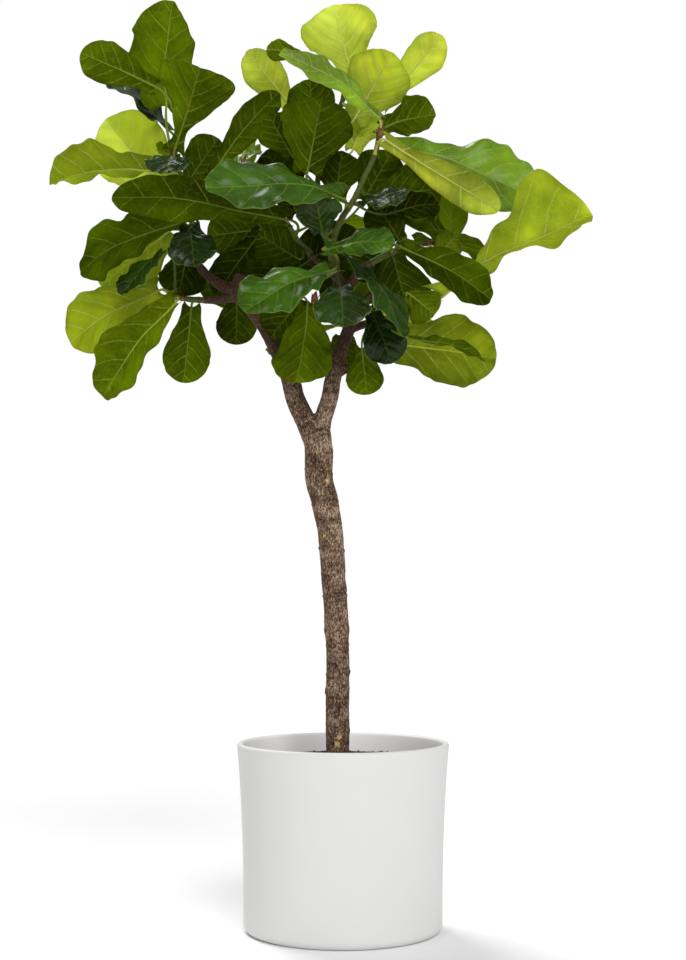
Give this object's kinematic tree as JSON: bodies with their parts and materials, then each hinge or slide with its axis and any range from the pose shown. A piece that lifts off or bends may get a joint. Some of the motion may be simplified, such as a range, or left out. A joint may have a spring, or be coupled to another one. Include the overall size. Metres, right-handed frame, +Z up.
{
  "type": "potted fiddle leaf fig",
  "caption": "Fiddle leaf fig with a woody stem that parts into two limbs and a wide head of large waved leaves, in soil in a plain round matt white planter.",
  "frame": {"origin": "centre of the pot's flat underside, on the surface it stands on", "axes": "+Z up, +X to the right as the picture shows it, +Y away from the viewer"},
  "size_m": [1.0244, 0.5822, 1.8151],
  "materials": {
    "pot": "matte",
    "soil": "matte",
    "bark": "matte",
    "leaf": "satin"
  },
  "bodies": {
    "root": {"pot": "pot", "soil": "soil", "trunk": "bark", "shoot_upper_left": "leaf", "shoot_lower_left": "leaf", "shoot_fork": "leaf", "shoot_centre": "leaf", "shoot_top": "leaf", "shoot_right": "leaf", "shoot_right_upper": "leaf", "shoot_inner": "leaf", "shoot_back_left": "leaf", "shoot_back_right": "leaf", "shoot_back_low": "leaf"}
  },
  "joints": []
}
